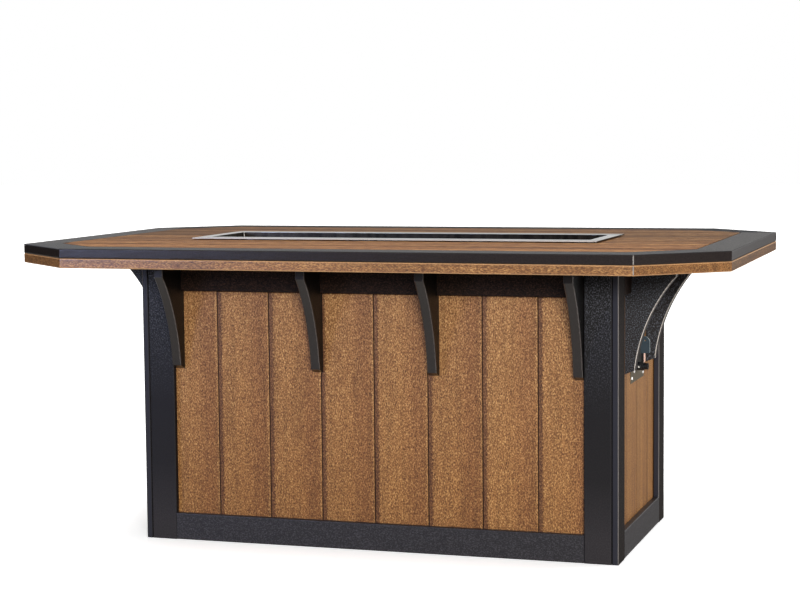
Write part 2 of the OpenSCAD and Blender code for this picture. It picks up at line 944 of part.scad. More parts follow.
// Stem from the ball's slot through the boss to the nut
module valve_stem() {
    color(steel)
        along_stem() {
            translate([0, 0, ball_d / 2])
                cylinder(d = stem_d, h = lever_y + lever_t + nut_h - ball_d / 2);
            intersection() {
                translate([0, 0, tang_top])
                    cylinder(d = stem_d, h = tang_l + overcut);
                translate([-stem_d, -tang_t / 2, tang_top])
                    cube([2 * stem_d, tang_t, tang_l + overcut]);
            }
        }
}

// Outlet screwed into the body behind the second seat, with a spigot for a hose
module hose_outlet() {
    plug_r = chamber_d / 2 - turn_slack;
    plug_l = body_end - face_x - plug_start;
    end = plug_l + collar_t + outlet_len;
    color("#181a20")
        along_valve(face_x + plug_start)
            rotate_extrude()
                polygon([[water_d / 2, 0], [plug_r, 0], [plug_r, plug_l],
                         [collar_d / 2, plug_l], [collar_d / 2, plug_l + collar_t],
                         [outlet_d / 2, plug_l + collar_t], [outlet_d / 2, end],
                         [water_d / 2, end]]);
}

// Places what turns with the lever, drawn in x and z about the stem, past the strip by y
module on_lever(y) {
    translate([stem_x, -lever_y - y, valve_z])
        rotate([90, 0, 0])
            children();
}

// Outline of the lever's strip: hub, crank, upright shank and the end inside the grip
module lever_outline() {
    inner = lever_lean - lever_w / 2;
    outer = lever_lean + lever_w / 2;
    end = grip_low + lever_end;
    circle(hub_r);
    polygon([[-lever_w / 2, 0], [lever_w / 2, 0], [outer, crank_top], [outer, end],
             [inner, end], [inner, crank_top]]);
}

module valve_lever() {
    color(steel)
        on_lever(0)
            difference() {
                linear_extrude(lever_t)
                    lever_outline();
                translate([0, 0, -overcut])
                    cylinder(d = stem_d, h = lever_t + 2 * overcut);
            }
}

// Outline of the grip: small round corners, and a wide round shoulder away from the wall
module grip_outline() {
    right = grip_lean + grip_w / 2;
    difference() {
        translate([grip_lean, (grip_low + grip_top) / 2])
            round_rect(grip_w, grip_top - grip_low, grip_r);
        difference() {
            translate([right - shoulder_r, grip_top - shoulder_r])
                square(shoulder_r + overcut);
            translate([right - shoulder_r, grip_top - shoulder_r])
                circle(shoulder_r);
        }
    }
}

module lever_grip() {
    wrap = (grip_t - lever_t) / 2;
    color("#5d6873")
        difference() {
            on_lever(-wrap)
                linear_extrude(grip_t)
                    grip_outline();
            on_lever(0)
                linear_extrude(lever_t)
                    lever_outline();
            on_lever(-wrap - overcut)
                translate([grip_lean, grip_top - grip_hole_drop])
                    cylinder(d = grip_hole_d, h = grip_t + 2 * overcut);
        }
}

module lever_nut() {
    color(steel)
        on_lever(lever_t)
            difference() {
                cylinder(d = nut_d, h = nut_h, $fn = 6);
                translate([0, 0, -overcut])
                    cylinder(d = stem_d, h = nut_h + 2 * overcut);
            }
}

corner_boards(-1, -1);  // front_left_corner_boards
corner_boards(1, -1);  // front_right_corner_boards
corner_boards(-1, 1);  // back_left_corner_boards
corner_boards(1, 1);  // back_right_corner_boards
long_trim(0, 0, rail_h);  // front_bottom_rail
long_trim(180, 0, rail_h);  // back_bottom_rail
end_trim(180, 0, rail_h);  // left_bottom_rail
end_trim(0, 0, rail_h);  // right_bottom_rail
long_trim(0, band_under - header_h, header_h);  // front_header
long_trim(180, band_under - header_h, header_h);  // back_header
end_trim(180, band_under - header_h, header_h);  // left_header
end_trim(0, band_under - header_h, header_h);  // right_header
long_boards(0);  // front_boards
long_boards(180);  // back_boards
end_boards(180, false);  // left_boards
end_boards(0, true);  // right_boards
corner_posts();
bottom_nailers();
top_nailers();
on_long_side(0) long_corbel_places() corbel();  // front_corbels
on_long_side(180) long_corbel_places() corbel();  // back_corbels
on_end(180) end_corbel_places() corbel();  // left_corbels
on_end(0) end_corbel_places() corbel();  // right_corbels
corbel_screws();
band_board(6);  // band_front
band_board(2);  // band_back
band_board(4);  // band_left
band_board(0);  // band_right
for (i = [1, 3, 5, 7]) band_board(i);  // band_corners
battens();
border_board(6);  // border_front
border_board(2);  // border_back
border_board(4);  // border_left
border_board(0);  // border_right
for (i = [1, 3, 5, 7]) border_board(i);  // border_corners
for (k = [2 : last_row]) deck_row(-k);  // deck_planks_front
for (k = [2 : last_row]) deck_row(k);  // deck_planks_back
deck_row(-1);  // notched_plank_front
deck_row(1);  // notched_plank_back
deck_row(0);  // deck_planks_middle
ice_trough();
trough_seal();
drain_flange();
drain_gasket();
drain_locknut();
drain_strainer();
drain_elbow();
drain_pipe();
valve_coupling();
valve_plate();
plate_screws();
valve_body();
valve_seats();
valve_ball();
valve_stem();
hose_outlet();
valve_lever();
lever_grip();
lever_nut();
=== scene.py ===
"""Ice bucket table: materials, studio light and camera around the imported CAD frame.
Lengths are in metres, +Z is up and the front looks towards -Y, as in the frame."""

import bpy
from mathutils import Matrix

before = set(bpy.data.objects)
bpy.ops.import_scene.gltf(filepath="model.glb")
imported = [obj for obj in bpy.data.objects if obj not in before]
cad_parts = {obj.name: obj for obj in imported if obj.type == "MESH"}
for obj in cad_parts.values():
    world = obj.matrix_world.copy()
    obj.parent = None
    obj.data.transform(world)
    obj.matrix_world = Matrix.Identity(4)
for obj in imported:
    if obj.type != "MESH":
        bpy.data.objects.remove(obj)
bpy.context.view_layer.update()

import math

import bpy
import numpy as np
from mathutils import Matrix, Vector

MM = 0.001
AXES = {"X": 0, "Y": 1, "Z": 2}

# One cladding board and one row of deck planks, each with its joint
BOARD_PITCH = 0.1397
PLANK_PITCH = 0.1406
# Top of the trough's flange, how far below it still counts as its top, and half the tub's
# length and width
TROUGH_TOP = 0.7712
TOP_FACE_T = 0.0004
TUB_HALF_X, TUB_HALF_Y = 0.5105, 0.113
# Distance from the middle beyond which the front shows a corner board's narrow edge, and
# beyond which its arris carries a painted highlight
NARROW_EDGE_X = 0.604
CORNER_ARRIS_X = 0.613
# The mitre at the deck's right front, half the width of the painted highlight along it, and
# where the deck's outer front faces lie
MITRE_X = 0.709
MITRE_HALF = 0.0011
DECK_FRONT_Y = -0.55
# Beyond this the border lies dull, at the deck's back
REAR_Y = 0.38
# How far in front of the middle the painted sheen on the planks' front starts
FRONT_DEPTH = 0.5
# Half the width of a joint between boards, and the share of a board by which the flecks make
# the strips beside it ragged
JOINT_HALF = 0.0013
RAGGED = 0.06
# The lever's bend along X, and the height above which painted shade darkens its plate
LEVER_FOLD_X = 0.6253
PLATE_SHADE_Z = 0.452
# A lumber face looks along an axis when more than this share of its normal lies on it, and a
# sheet's face or a bend's corner when more than the lower shares do
FLAT_ON = 0.94
SHEET_ON = 0.7
CORNER_ON = 0.35

# Colour sockets of the Mix node
MIX_A, MIX_B, MIX_OUT = 6, 7, 2


def rgb(code):
    """Linear RGBA of an sRGB hex colour: c/12.92 below 0.04045, else ((c+0.055)/1.055)^2.4."""
    c = np.array([int(code[i:i + 2], 16) / 255 for i in (1, 3, 5)])
    low = c / 12.92
    high = ((c + 0.055) / 1.055) ** 2.4
    return (*np.where(c <= 0.04045, low, high).tolist(), 1.0)


def plug(node, inputs):
    """Gives a node's sockets their values: a number, a vector, an sRGB hex colour, or another
    node's output, which is linked."""
    for key, value in inputs.items():
        if isinstance(value, bpy.types.NodeSocket):
            node.id_data.links.new(value, node.inputs[key])
        else:
            node.inputs[key].default_value = rgb(value) if isinstance(value, str) else value


def add(tree, kind, inputs, out=0, stops=(), **settings):
    """Adds a shader node with its settings and links, and returns one of its outputs. stops are
    the places and sRGB hex colours of a colour ramp."""
    node = tree.nodes.new("ShaderNode" + kind)
    for key, value in settings.items():
        setattr(node, key, value)
    plug(node, inputs)
    for at, code in stops[1:-1]:
        node.color_ramp.elements.new(at)
    for i, (at, code) in enumerate(stops):
        mark = node.color_ramp.elements[i]
        mark.position, mark.color = at, rgb(code)
    return node.outputs[out]


def material(name):
    """New material; returns it, its node tree and its Principled shader."""
    mat = bpy.data.materials.new(name)
    mat.use_nodes = True
    return mat, mat.node_tree, mat.node_tree.nodes["Principled BSDF"]


def finish(bsdf, height, depth, relief, sockets):
    """Gives a shader its sockets, and a relief from the height pattern, depth metres deep and
    as strong as relief."""
    bump = add(bsdf.id_data, "Bump", {"Strength": relief, "Distance": depth, "Height": height})
    plug(bsdf, {**sockets, "Normal": bump})


def place(tree, axis):
    """Place on the object along an axis, in metres."""
    spot = add(tree, "TexCoord", {}, "Object")
    return add(tree, "SeparateXYZ", {0: spot}, AXES[axis])


def away(tree, axis):
    """Distance from the object's middle along an axis, either way, in metres."""
    return add(tree, "Math", {0: place(tree, axis)}, operation="ABSOLUTE")


def facing(tree, axis):
    """How far a face looks along an axis, either way, from 0 to 1."""
    normal = add(tree, "TexCoord", {}, "Normal")
    return add(tree, "Math", {0: add(tree, "SeparateXYZ", {0: normal}, AXES[axis])},
               operation="ABSOLUTE")


def noise(tree, width, axis="X", squeeze=1.0, detail=2.0, rough=0.6, bend=0.0):
    """Noise from 0 to 1. Its grains are about width millimetres wide and 1 / squeeze times as
    long along the axis. detail adds finer layers, each rough times as strong as the last, and
    bend twists them."""
    scale = [1.0, 1.0, 1.0]
    scale[AXES[axis]] = squeeze
    spot = add(tree, "VectorMath", {0: add(tree, "TexCoord", {}, "Object"), 1: scale},
               operation="MULTIPLY")
    return add(tree, "TexNoise", {"Vector": spot, "Scale": 1.0 / (width * MM), "Detail": detail,
                                  "Roughness": rough, "Distortion": bend})


def every(tree, mask, *others):
    """Product of masks: 1 where each of them is 1."""
    for other in others:
        mask = add(tree, "Math", {0: mask, 1: other}, operation="MULTIPLY")
    return mask


def between(tree, value, low=None, high=None):
    """Mask that is 1 above the low limit and below the high one, where they are given."""
    limits = [("GREATER_THAN", low), ("LESS_THAN", high)]
    return every(tree, *[add(tree, "Math", {0: value, 1: limit}, operation=side)
                         for side, limit in limits if limit is not None])


def toned(tree, color, fac, stops, strength=1.0):
    """Multiplies a colour by a colour ramp over fac, as strongly as given."""
    tone = add(tree, "ValToRGB", {0: fac}, stops=stops)
    return add(tree, "Mix", {0: strength, MIX_A: color, MIX_B: tone}, MIX_OUT,
               data_type="RGBA", blend_type="MULTIPLY")


def layered(tree, color, *layers):
    """Lays colours over the first one, each where its mask is 1."""
    for mask, paint in layers:
        color = add(tree, "Mix", {0: mask, MIX_A: color, MIX_B: paint}, MIX_OUT,
                    data_type="RGBA")
    return color


def painted_mitre_highlight(tree, color):
    """Adds a painted highlight: the pale line of light along the deck's right front mitre, on its
    outer faces.
    """
    off = add(tree, "Math", {0: place(tree, "X"), 1: MITRE_X}, operation="SUBTRACT")
    off = add(tree, "Math", {0: off}, operation="ABSOLUTE")
    line = every(tree, between(tree, off, high=MITRE_HALF),
                 between(tree, place(tree, "Y"), high=DECK_FRONT_Y),
                 between(tree, facing(tree, "Z"), high=0.5))
    return layered(tree, color, (line, "#87817b"))


# Brown poly lumber is HDPE moulded with a wood grain. To the eye it is a mat of gold and dark
# flecks 2 to 3 mm wide, in clumps and patches of tone and in streaks that run with the board,
# under a low sheen. Its IOR is left at 1.5, near the 1.54 of HDPE, and the specular level is
# matched to each face. The widths are in millimetres; the lumber's pores are finer than the
# render can show, and the flecks stand for groups of them.
CLUMP_W, PATCH_W, STREAK_W = 14.0, 70.0, 10.0
MOTTLE_W = 6.0
WEAR_W = 55.0
GRAIN_DEPTH = 0.4 * MM
GRAIN_ROUGH, GRAIN_GLOSS, GRAIN_RELIEF = 0.52, 0.3, 0.5
# How much of a band's normal is upright on its eased edges, and how strongly a painted
# highlight lightens those
BAND_ARRIS_LOOK = (0.25, 0.97)
BAND_ARRIS_HIGHLIGHT = 0.35


def wood_grain(tree, axis, tint, fleck, squeeze, streak):
    """Moulded wood grain along an axis, with flecks of the given width in millimetres. Returns
    its colour and the flecks, which are its relief too."""
    flecks = noise(tree, fleck, axis, squeeze, detail=1.0, bend=0.4)
    color = add(tree, "ValToRGB", {0: flecks}, stops=[
        (0.28, "#674226"), (0.44, "#9a7047"), (0.56, "#bd8f5b"), (0.72, "#eec78b")])
    color = add(tree, "Mix", {0: 1.0, MIX_A: color, MIX_B: tint}, MIX_OUT,
                data_type="RGBA", blend_type="MULTIPLY")
    clumps = noise(tree, CLUMP_W, axis, 0.5, bend=0.3)
    color = toned(tree, color, clumps, [(0.34, "#c8bbb0"), (0.62, "#ffffff")], 0.3)
    patches = noise(tree, PATCH_W, axis, 0.3, rough=0.5, bend=0.2)
    color = toned(tree, color, patches, [(0.35, "#d4cac0"), (0.62, "#ffffff")], 0.12)
    streaks = noise(tree, STREAK_W, axis, 0.04, detail=3.0, bend=0.1)
    color = toned(tree, color, streaks, [(0.36, "#857b74"), (0.58, "#ffffff")], streak)
    return color, flecks


def board_profile(tree, color, flecks, axis, pitch, offset, strength):
    """Tone across each board that lies side by side along an axis: a dark joint, a dull mauve
    strip at its low edge, golden beyond it, duller again towards the high edge, and a thin
    painted highlight just before the next joint. One board is a little paler than another."""
    count = add(tree, "Math", {0: place(tree, axis), 1: offset}, operation="ADD")
    count = add(tree, "Math", {0: count, 1: pitch}, operation="DIVIDE")
    board = add(tree, "Math", {0: count}, operation="FLOOR")
    across = add(tree, "Math", {0: count}, operation="FRACT")
    tone = add(tree, "TexWhiteNoise", {"W": board}, "Value", noise_dimensions="1D")
    color = toned(tree, color, tone, [(0.0, "#efe9e4"), (1.0, "#faf6f2")])
    ragged = add(tree, "Math", {0: flecks, 1: RAGGED, 2: across}, operation="MULTIPLY_ADD")
    # The last stop leaves a thin painted highlight beside each joint, on the board's high edge
    color = toned(tree, color, ragged, [
        (0.09, "#a5959a"), (0.11, "#c2b3b2"), (0.13, "#fbf8f4"), (0.55, "#f8f2ec"),
        (0.80, "#e2d5d1"), (0.985, "#dccfca"), (0.995, "#ffffff")], strength)
    off = add(tree, "Math", {0: across, 1: 0.5}, operation="SUBTRACT")
    off = add(tree, "Math", {0: off}, operation="ABSOLUTE")
    return layered(tree, color, (between(tree, off, 0.5 - JOINT_HALF / pitch), "#2e180e"))


def brown_wall(name, axis, tint, fleck, squeeze, streak, profile):
    """Upright cladding boards, side by side along an axis, mottled, with painted shade darkening
    them near the ground.
    """
    mat, tree, bsdf = material(name)
    color, flecks = wood_grain(tree, "Z", tint, fleck, squeeze, streak)
    mottle = noise(tree, MOTTLE_W, "Z", 0.8, detail=1.0, rough=0.5, bend=0.3)
    color = toned(tree, color, mottle, [(0.34, "#c2b4a8"), (0.60, "#ffffff")], 0.15)
    # Painted shade: the boards grow darker and warmer towards the ground
    color = toned(tree, color, place(tree, "Z"), [(0.15, "#f6eedd"), (0.62, "#fffefe")])
    color = board_profile(tree, color, flecks, axis, BOARD_PITCH, 0.0, profile)
    finish(bsdf, flecks, GRAIN_DEPTH, GRAIN_RELIEF, {
        "Base Color": color, "Roughness": GRAIN_ROUGH, "Specular IOR Level": GRAIN_GLOSS})
    return mat


def brown_planks(name):
    """Deck planks along X, dull in wide streaks of wear, and paler and warmer towards the front
    with a painted sheen."""
    mat, tree, bsdf = material(name)
    color, flecks = wood_grain(tree, "X", "#cacbcb", fleck=2.7, squeeze=0.1, streak=0.5)
    wear = noise(tree, WEAR_W, "X", 0.02, bend=0.1)
    color = toned(tree, color, wear, [(0.38, "#aea49e"), (0.50, "#e4ddd8"), (0.62, "#ffffff")])
    # Painted sheen: the front rows are paler and warmer
    depth = add(tree, "Math", {0: place(tree, "Y"), 1: FRONT_DEPTH}, operation="ADD")
    front = add(tree, "ValToRGB", {0: depth}, stops=[
        (0.10, "#e4e4e4"), (0.30, "#c2c2c2"), (0.60, "#000000")])
    warm = add(tree, "Mix", {0: 1.0, MIX_A: color, MIX_B: "#fff0e4"}, MIX_OUT,
               data_type="RGBA", blend_type="MULTIPLY")
    color = add(tree, "Mix", {0: front, MIX_A: color, MIX_B: warm}, MIX_OUT,
                data_type="RGBA", blend_type="ADD")
    color = board_profile(tree, color, flecks, "Y", PLANK_PITCH, PLANK_PITCH / 2, 0.6)
    finish(bsdf, flecks, GRAIN_DEPTH, GRAIN_RELIEF, {
        "Base Color": color, "Roughness": 0.6, "Specular IOR Level": 0.2})
    return mat


def brown_band(name, axis, tint, fleck, squeeze, streak, rough=GRAIN_ROUGH, gloss=GRAIN_GLOSS,
               relief=GRAIN_RELIEF):
    """Narrow boards of the band under the deck, along an axis, with painted highlights on eased
    edges.
    """
    mat, tree, bsdf = material(name)
    color, flecks = wood_grain(tree, axis, tint, fleck, squeeze, streak)
    # Painted highlight: the eased edges get a pale gold laid over the grain
    eased = between(tree, facing(tree, "Z"), *BAND_ARRIS_LOOK)
    eased = add(tree, "Math", {0: eased, 1: BAND_ARRIS_HIGHLIGHT}, operation="MULTIPLY")
    color = painted_mitre_highlight(tree, layered(tree, color, (eased, "#ecb884")))
    finish(bsdf, flecks, GRAIN_DEPTH, relief, {
        "Base Color": color, "Roughness": rough, "Specular IOR Level": gloss})
    return mat


# Black poly lumber is HDPE with a hammered face. To the eye it is a stipple about 2.5 mm wide,
# a little longer along the board, whose pale blue-grey specks at the tips are painted glints
# where it catches the light. Its cut edges are smoother and browner, and an eased arris runs
# between the two, where a pale colour is a painted highlight. The widths are in millimetres.
STIPPLE_W, CORNER_STIPPLE_W = 2.6, 2.7
STIPPLE_DEPTH = 0.8 * MM
FACE_ROUGH, EDGE_ROUGH = 0.45, 0.30
FACE_RELIEF, EDGE_RELIEF = 0.8, 0.1
# Ends of the corner boards, and the border's back
END_ROUGH, END_GLOSS = 0.75, 0.10
REAR_ROUGH, REAR_GLOSS = 0.6, 0.15
CORNER_GLOSS = 0.25
CORNER_RELIEF, CORNER_RELIEF_HIGH_UP = 0.15, 0.85
# How much of the normal lies along the face axis on an eased arris
ARRIS_LOOK = (0.50, 0.88)
LOW_TONE = "#040303"
EDGE_TONES = ("#1c1615", "#2a2321")


def stipple(tree, axis, width, tones):
    """Hammered stipple along an axis. Returns its colour, from dark to the tips, and its
    height."""
    height = noise(tree, width, axis, 0.7, detail=1.0, bend=0.3)
    stops = list(zip((0.30, 0.50, 0.70), tones))
    return add(tree, "ValToRGB", {0: height}, stops=stops), height


def cut_lumber(tree, axis, face, width, tones, edge_tones, arris):
    """Hammered faces, which look along the face axis, with cut edges and eased arrises. Returns
    the colour, the height and the mask of the hammered faces."""
    color, height = stipple(tree, axis, width, tones)
    look = facing(tree, face)
    flat = between(tree, look, FLAT_ON)
    edge = add(tree, "ValToRGB", {0: height}, stops=[(0.30, edge_tones[0]),
                                                     (0.70, edge_tones[1])])
    color = layered(tree, edge, (flat, color), (between(tree, look, *ARRIS_LOOK), arris))
    return color, height, flat


def black_rail(name, axis, tones, rough, gloss, relief):
    """Rails, headers and nailers: hammered all round, with the board along an axis."""
    mat, tree, bsdf = material(name)
    color, height = stipple(tree, axis, STIPPLE_W, tones)
    finish(bsdf, height, STIPPLE_DEPTH, relief, {
        "Base Color": color, "Roughness": rough, "Specular IOR Level": gloss})
    return mat


def black_corbel(name, face, width, tones, edge_tones, arris, gloss, edge_gloss=None):
    """Corbels: hammered sides, which look along the face axis, and a smooth hollow curve."""
    mat, tree, bsdf = material(name)
    color, height, flat = cut_lumber(tree, "Z", face, width, tones, edge_tones, arris)
    relief = add(tree, "Math", {0: flat, 1: FACE_RELIEF - EDGE_RELIEF, 2: EDGE_RELIEF},
                 operation="MULTIPLY_ADD")
    rough = add(tree, "Math", {0: flat, 1: FACE_ROUGH - EDGE_ROUGH, 2: EDGE_ROUGH},
                operation="MULTIPLY_ADD")
    finish(bsdf, height, STIPPLE_DEPTH, relief, {
        "Base Color": color, "Roughness": rough, "Specular IOR Level": gloss})
    if edge_gloss:
        level = add(tree, "Math", {0: flat, 1: gloss - edge_gloss, 2: edge_gloss},
                    operation="MULTIPLY_ADD")
        plug(bsdf, {"Specular IOR Level": level})
    return mat


def black_border(name, axis, tips, gloss, edge_rough, edge_relief):
    """The deck's border: hammered tops, smoother outer faces, and dull at the deck's back."""
    mat, tree, bsdf = material(name)
    color, height, flat = cut_lumber(tree, axis, "Z", STIPPLE_W,
                                     (LOW_TONE, "#120f0f", tips), EDGE_TONES, "#1b1716")
    rear = between(tree, place(tree, "Y"), REAR_Y)
    relief = add(tree, "Math", {0: flat, 1: FACE_RELIEF - edge_relief, 2: edge_relief},
                 operation="MULTIPLY_ADD")
    rough = add(tree, "Math", {0: flat, 1: FACE_ROUGH - edge_rough, 2: edge_rough},
                operation="MULTIPLY_ADD")
    rear_rough = add(tree, "Math", {0: rear, 1: REAR_ROUGH}, operation="MULTIPLY")
    rough = add(tree, "Math", {0: rough, 1: rear_rough}, operation="MAXIMUM")
    finish(bsdf, height, STIPPLE_DEPTH, relief, {
        "Base Color": painted_mitre_highlight(tree, color), "Roughness": rough, "Specular IOR Level": gloss})
    level = add(tree, "Math", {0: rear, 1: REAR_GLOSS - gloss, 2: gloss},
                operation="MULTIPLY_ADD")
    plug(bsdf, {"Specular IOR Level": level})
    return mat


def black_corner(name):
    """Corner boards: hammered on the long sides and most sharply high up, where the stipple's
    pale tips are a painted sheen, and lightened towards the ground by a painted reflection of the
    floor;
    smooth and blue-black on the narrow edge beside the corner, browner on the ends, dark along
    the arrises and pale with a painted highlight along the arris at the corner."""
    mat, tree, bsdf = material(name)
    height = noise(tree, CORNER_STIPPLE_W, "Z", 0.7, detail=1.0, bend=0.3)
    tall = place(tree, "Z")
    upper = add(tree, "ValToRGB", {0: tall}, stops=[(0.36, "#000000"), (0.64, "#ffffff")])
    # Painted reflection of the floor: low down the boards grow lighter towards the ground
    lower = add(tree, "ValToRGB", {0: tall}, stops=[
        (0.05, "#332f31"), (0.20, "#1d1a1b"), (0.36, "#181516")])
    lower = toned(tree, lower, height, [(0.35, "#a0a0a0"), (0.65, "#ffffff")], 0.5)
    # Painted sheen: high up the stipple's pale blue-grey tips stand for glints of light
    painted_sheen_stipple = add(tree, "ValToRGB", {0: height}, stops=[
        (0.33, "#030303"), (0.50, "#100f0f"), (0.68, "#505058")])
    end = add(tree, "ValToRGB", {0: height}, stops=[
        (0.30, "#0d0a09"), (0.50, "#1a1412"), (0.70, "#2e2723")])
    narrow = between(tree, away(tree, "X"), NARROW_EDGE_X)
    on_side = between(tree, facing(tree, "Y"), FLAT_ON)
    on_end = between(tree, facing(tree, "X"), FLAT_ON)
    # Painted highlight: the arris at the corner is pale grey
    arris = layered(tree, "#1f1e21",
                    (between(tree, away(tree, "X"), CORNER_ARRIS_X), "#6f6a67"))
    side = layered(tree, lower, (upper, painted_sheen_stipple), (narrow, "#2e2e36"))
    color = layered(tree, arris, (on_side, side), (on_end, end))
    hammered = every(tree, on_side, add(tree, "Math", {0: 1.0, 1: narrow},
                                        operation="SUBTRACT"))
    rough = add(tree, "Math", {0: on_end, 1: END_ROUGH - EDGE_ROUGH, 2: EDGE_ROUGH},
                operation="MULTIPLY_ADD")
    rough = add(tree, "Math", {0: hammered, 1: FACE_ROUGH - EDGE_ROUGH, 2: rough},
                operation="MULTIPLY_ADD")
    relief = add(tree, "Math", {0: every(tree, hammered, upper),
                                1: CORNER_RELIEF_HIGH_UP - CORNER_RELIEF, 2: CORNER_RELIEF},
                 operation="MULTIPLY_ADD")
    finish(bsdf, height, STIPPLE_DEPTH, relief, {
        "Base Color": color, "Roughness": rough, "Specular IOR Level": CORNER_GLOSS})
    level = add(tree, "Math", {0: on_end, 1: END_GLOSS - CORNER_GLOSS, 2: CORNER_GLOSS},
                operation="MULTIPLY_ADD")
    plug(bsdf, {"Specular IOR Level": level})
    return mat


# Stainless steel is brushed sheet or turned bar. To the eye its brush lines smear what it
# mirrors. They are about 0.1 mm apart in the real sheet and drawn 0.5 to 1.2 mm apart, so that
# they show. The widths are in millimetres.
BRUSH_W = 1.2
TUB_STREAK_W = 18.0
BRUSH_DEPTH = 0.1 * MM
BRUSH_RELIEF, TROUGH_RELIEF = 0.15, 0.03
# How far the lines swing the roughness either way
BRUSH_SWING, TROUGH_SWING = 0.08, 0.05
TROUGH_ROUGH = 0.31
# The rim's narrow face mirrors little, and its pale grey is a painted reflection
RIM_METALLIC = 0.1


def steel_trough(name):
    """Welded and brushed sheet: bright on the flange, duller along its front, dark inside the tub
    with painted shade, less so low down, with a painted shadow on the rims at its ends, a painted
    reflection on the pale rims along its sides, and a painted highlight up the tub's welded
    corners."""
    mat, tree, bsdf = material(name)
    lines = noise(tree, BRUSH_W, "X", 0.02, detail=3.0)
    within_x = between(tree, away(tree, "X"), high=TUB_HALF_X)
    within_y = between(tree, away(tree, "Y"), high=TUB_HALF_Y)
    beyond_x = add(tree, "Math", {0: 1.0, 1: within_x}, operation="SUBTRACT")
    beyond_y = add(tree, "Math", {0: 1.0, 1: within_y}, operation="SUBTRACT")
    inside = every(tree, between(tree, place(tree, "Z"), high=TROUGH_TOP - TOP_FACE_T),
                   within_x, within_y)
    painted_corner_highlight = every(tree, between(tree, facing(tree, "X"), CORNER_ON),
                 between(tree, facing(tree, "Y"), CORNER_ON))
    front_strip = every(tree, between(tree, place(tree, "Y"), high=-TUB_HALF_Y),
                        between(tree, facing(tree, "Z"), SHEET_ON))
    back_strip = between(tree, place(tree, "Y"), TUB_HALF_Y)
    side_rim = every(tree, between(tree, facing(tree, "Y"), SHEET_ON), beyond_y)
    painted_shadow_end_rim = every(tree, between(tree, facing(tree, "X"), SHEET_ON), beyond_x)
    # Painted shadow: the rims at the ends are near black; painted reflection: the side rims are
    # pale grey
    flange = layered(tree, "#e2e2e0", (back_strip, "#b8b6b2"), (side_rim, "#c4bebc"),
                     (front_strip, "#cfcdcb"), (painted_shadow_end_rim, "#1c1816"))
    streaks = noise(tree, TUB_STREAK_W, "Z", 0.1)
    # Painted shade darkens the tub's walls, less so low down, and a painted highlight runs up its
    # corners
    painted_shade_wall = add(tree, "ValToRGB", {0: streaks}, stops=[(0.35, "#2e2a25"), (0.65, "#453f37")])
    deep = add(tree, "ValToRGB", {0: place(tree, "Z")}, stops=[(0.66, "#ffffff"),
                                                               (0.74, "#000000")])
    tub = layered(tree, painted_shade_wall, (deep, "#a8a49c"), (painted_corner_highlight, "#8f8b84"))
    metallic = add(tree, "Math", {0: side_rim, 1: RIM_METALLIC - 1.0, 2: 1.0},
                   operation="MULTIPLY_ADD")
    rough = add(tree, "Math", {0: lines, 1: 2 * TROUGH_SWING, 2: TROUGH_ROUGH - TROUGH_SWING},
                operation="MULTIPLY_ADD")
    finish(bsdf, lines, BRUSH_DEPTH, TROUGH_RELIEF, {
        "Base Color": layered(tree, flange, (inside, tub)), "Metallic": metallic,
        "Roughness": rough})
    return mat


def brushed(name, color, rough, axis="X", width=BRUSH_W, painted_shade_above=None):
    """Metal with fine brush lines along an axis, darkened by painted shade above the given
    height.
    """
    mat, tree, bsdf = material(name)
    if painted_shade_above:
        high = between(tree, place(tree, "Z"), painted_shade_above)
        color = layered(tree, color, (high, "#2a2622"))
    lines = noise(tree, width, axis, 0.02, detail=3.0)
    rough = add(tree, "Math", {0: lines, 1: 2 * BRUSH_SWING, 2: rough - BRUSH_SWING},
                operation="MULTIPLY_ADD")
    finish(bsdf, lines, BRUSH_DEPTH, BRUSH_RELIEF, {
        "Base Color": color, "Metallic": 1.0, "Roughness": rough})
    return mat


# How far an orange peel swings the roughness either way, and how strongly it stands out
PEEL_SWING = 0.06
PEEL_RELIEF = 0.3


def moulded(name, color, rough, width=1.5, depth=0.1, painted_highlight=None, fold=None):
    """Moulded plastic or rubber, dipped vinyl, plating or paint: one colour with an orange peel
    of the given width and depth in millimetres, two to three times as coarse as the real one,
    so that it shows. A painted highlight colour shows on the rims of a flat strip, which don't
    look along Y, or else on what lies beyond a fold along X."""
    mat, tree, bsdf = material(name)
    peel = noise(tree, width, rough=0.5)
    if painted_highlight:
        rim = (between(tree, place(tree, "X"), fold) if fold
               else between(tree, facing(tree, "Y"), high=0.8))
        color = layered(tree, color, (rim, painted_highlight))
    rough = add(tree, "Math", {0: peel, 1: 2 * PEEL_SWING, 2: rough - PEEL_SWING},
                operation="MULTIPLY_ADD")
    finish(bsdf, peel, depth * MM, PEEL_RELIEF, {"Base Color": color, "Roughness": rough})
    return mat


long_wall = brown_wall("brown_poly_lumber_long_wall", "X", "#ffffff", fleck=2.6, squeeze=0.55,
                       streak=0.25, profile=0.9)
end_wall = brown_wall("brown_poly_lumber_end_wall", "Y", "#fffbe6", fleck=2.0, squeeze=0.7,
                      streak=0.35, profile=0.6)
planks = brown_planks("brown_poly_lumber_planks")
# The long band is smoother than the ends' and shines more. Each band is tinted darker than the
# walls' lumber as painted shade: the long band least, the corners more, the ends most and olive.
long_band = brown_band("brown_poly_lumber_band_long", "X", "#dbcdbd", fleck=1.9, squeeze=0.35,
                       streak=0.4, rough=0.30, gloss=0.8, relief=0.15)
end_band = brown_band("brown_poly_lumber_band_end", "Y", "#98896e", fleck=1.8, squeeze=0.15,
                      streak=0.5)
corner_band = brown_band("brown_poly_lumber_band_corners", "X", "#c6b59f", fleck=1.8,
                         squeeze=0.15, streak=0.5)

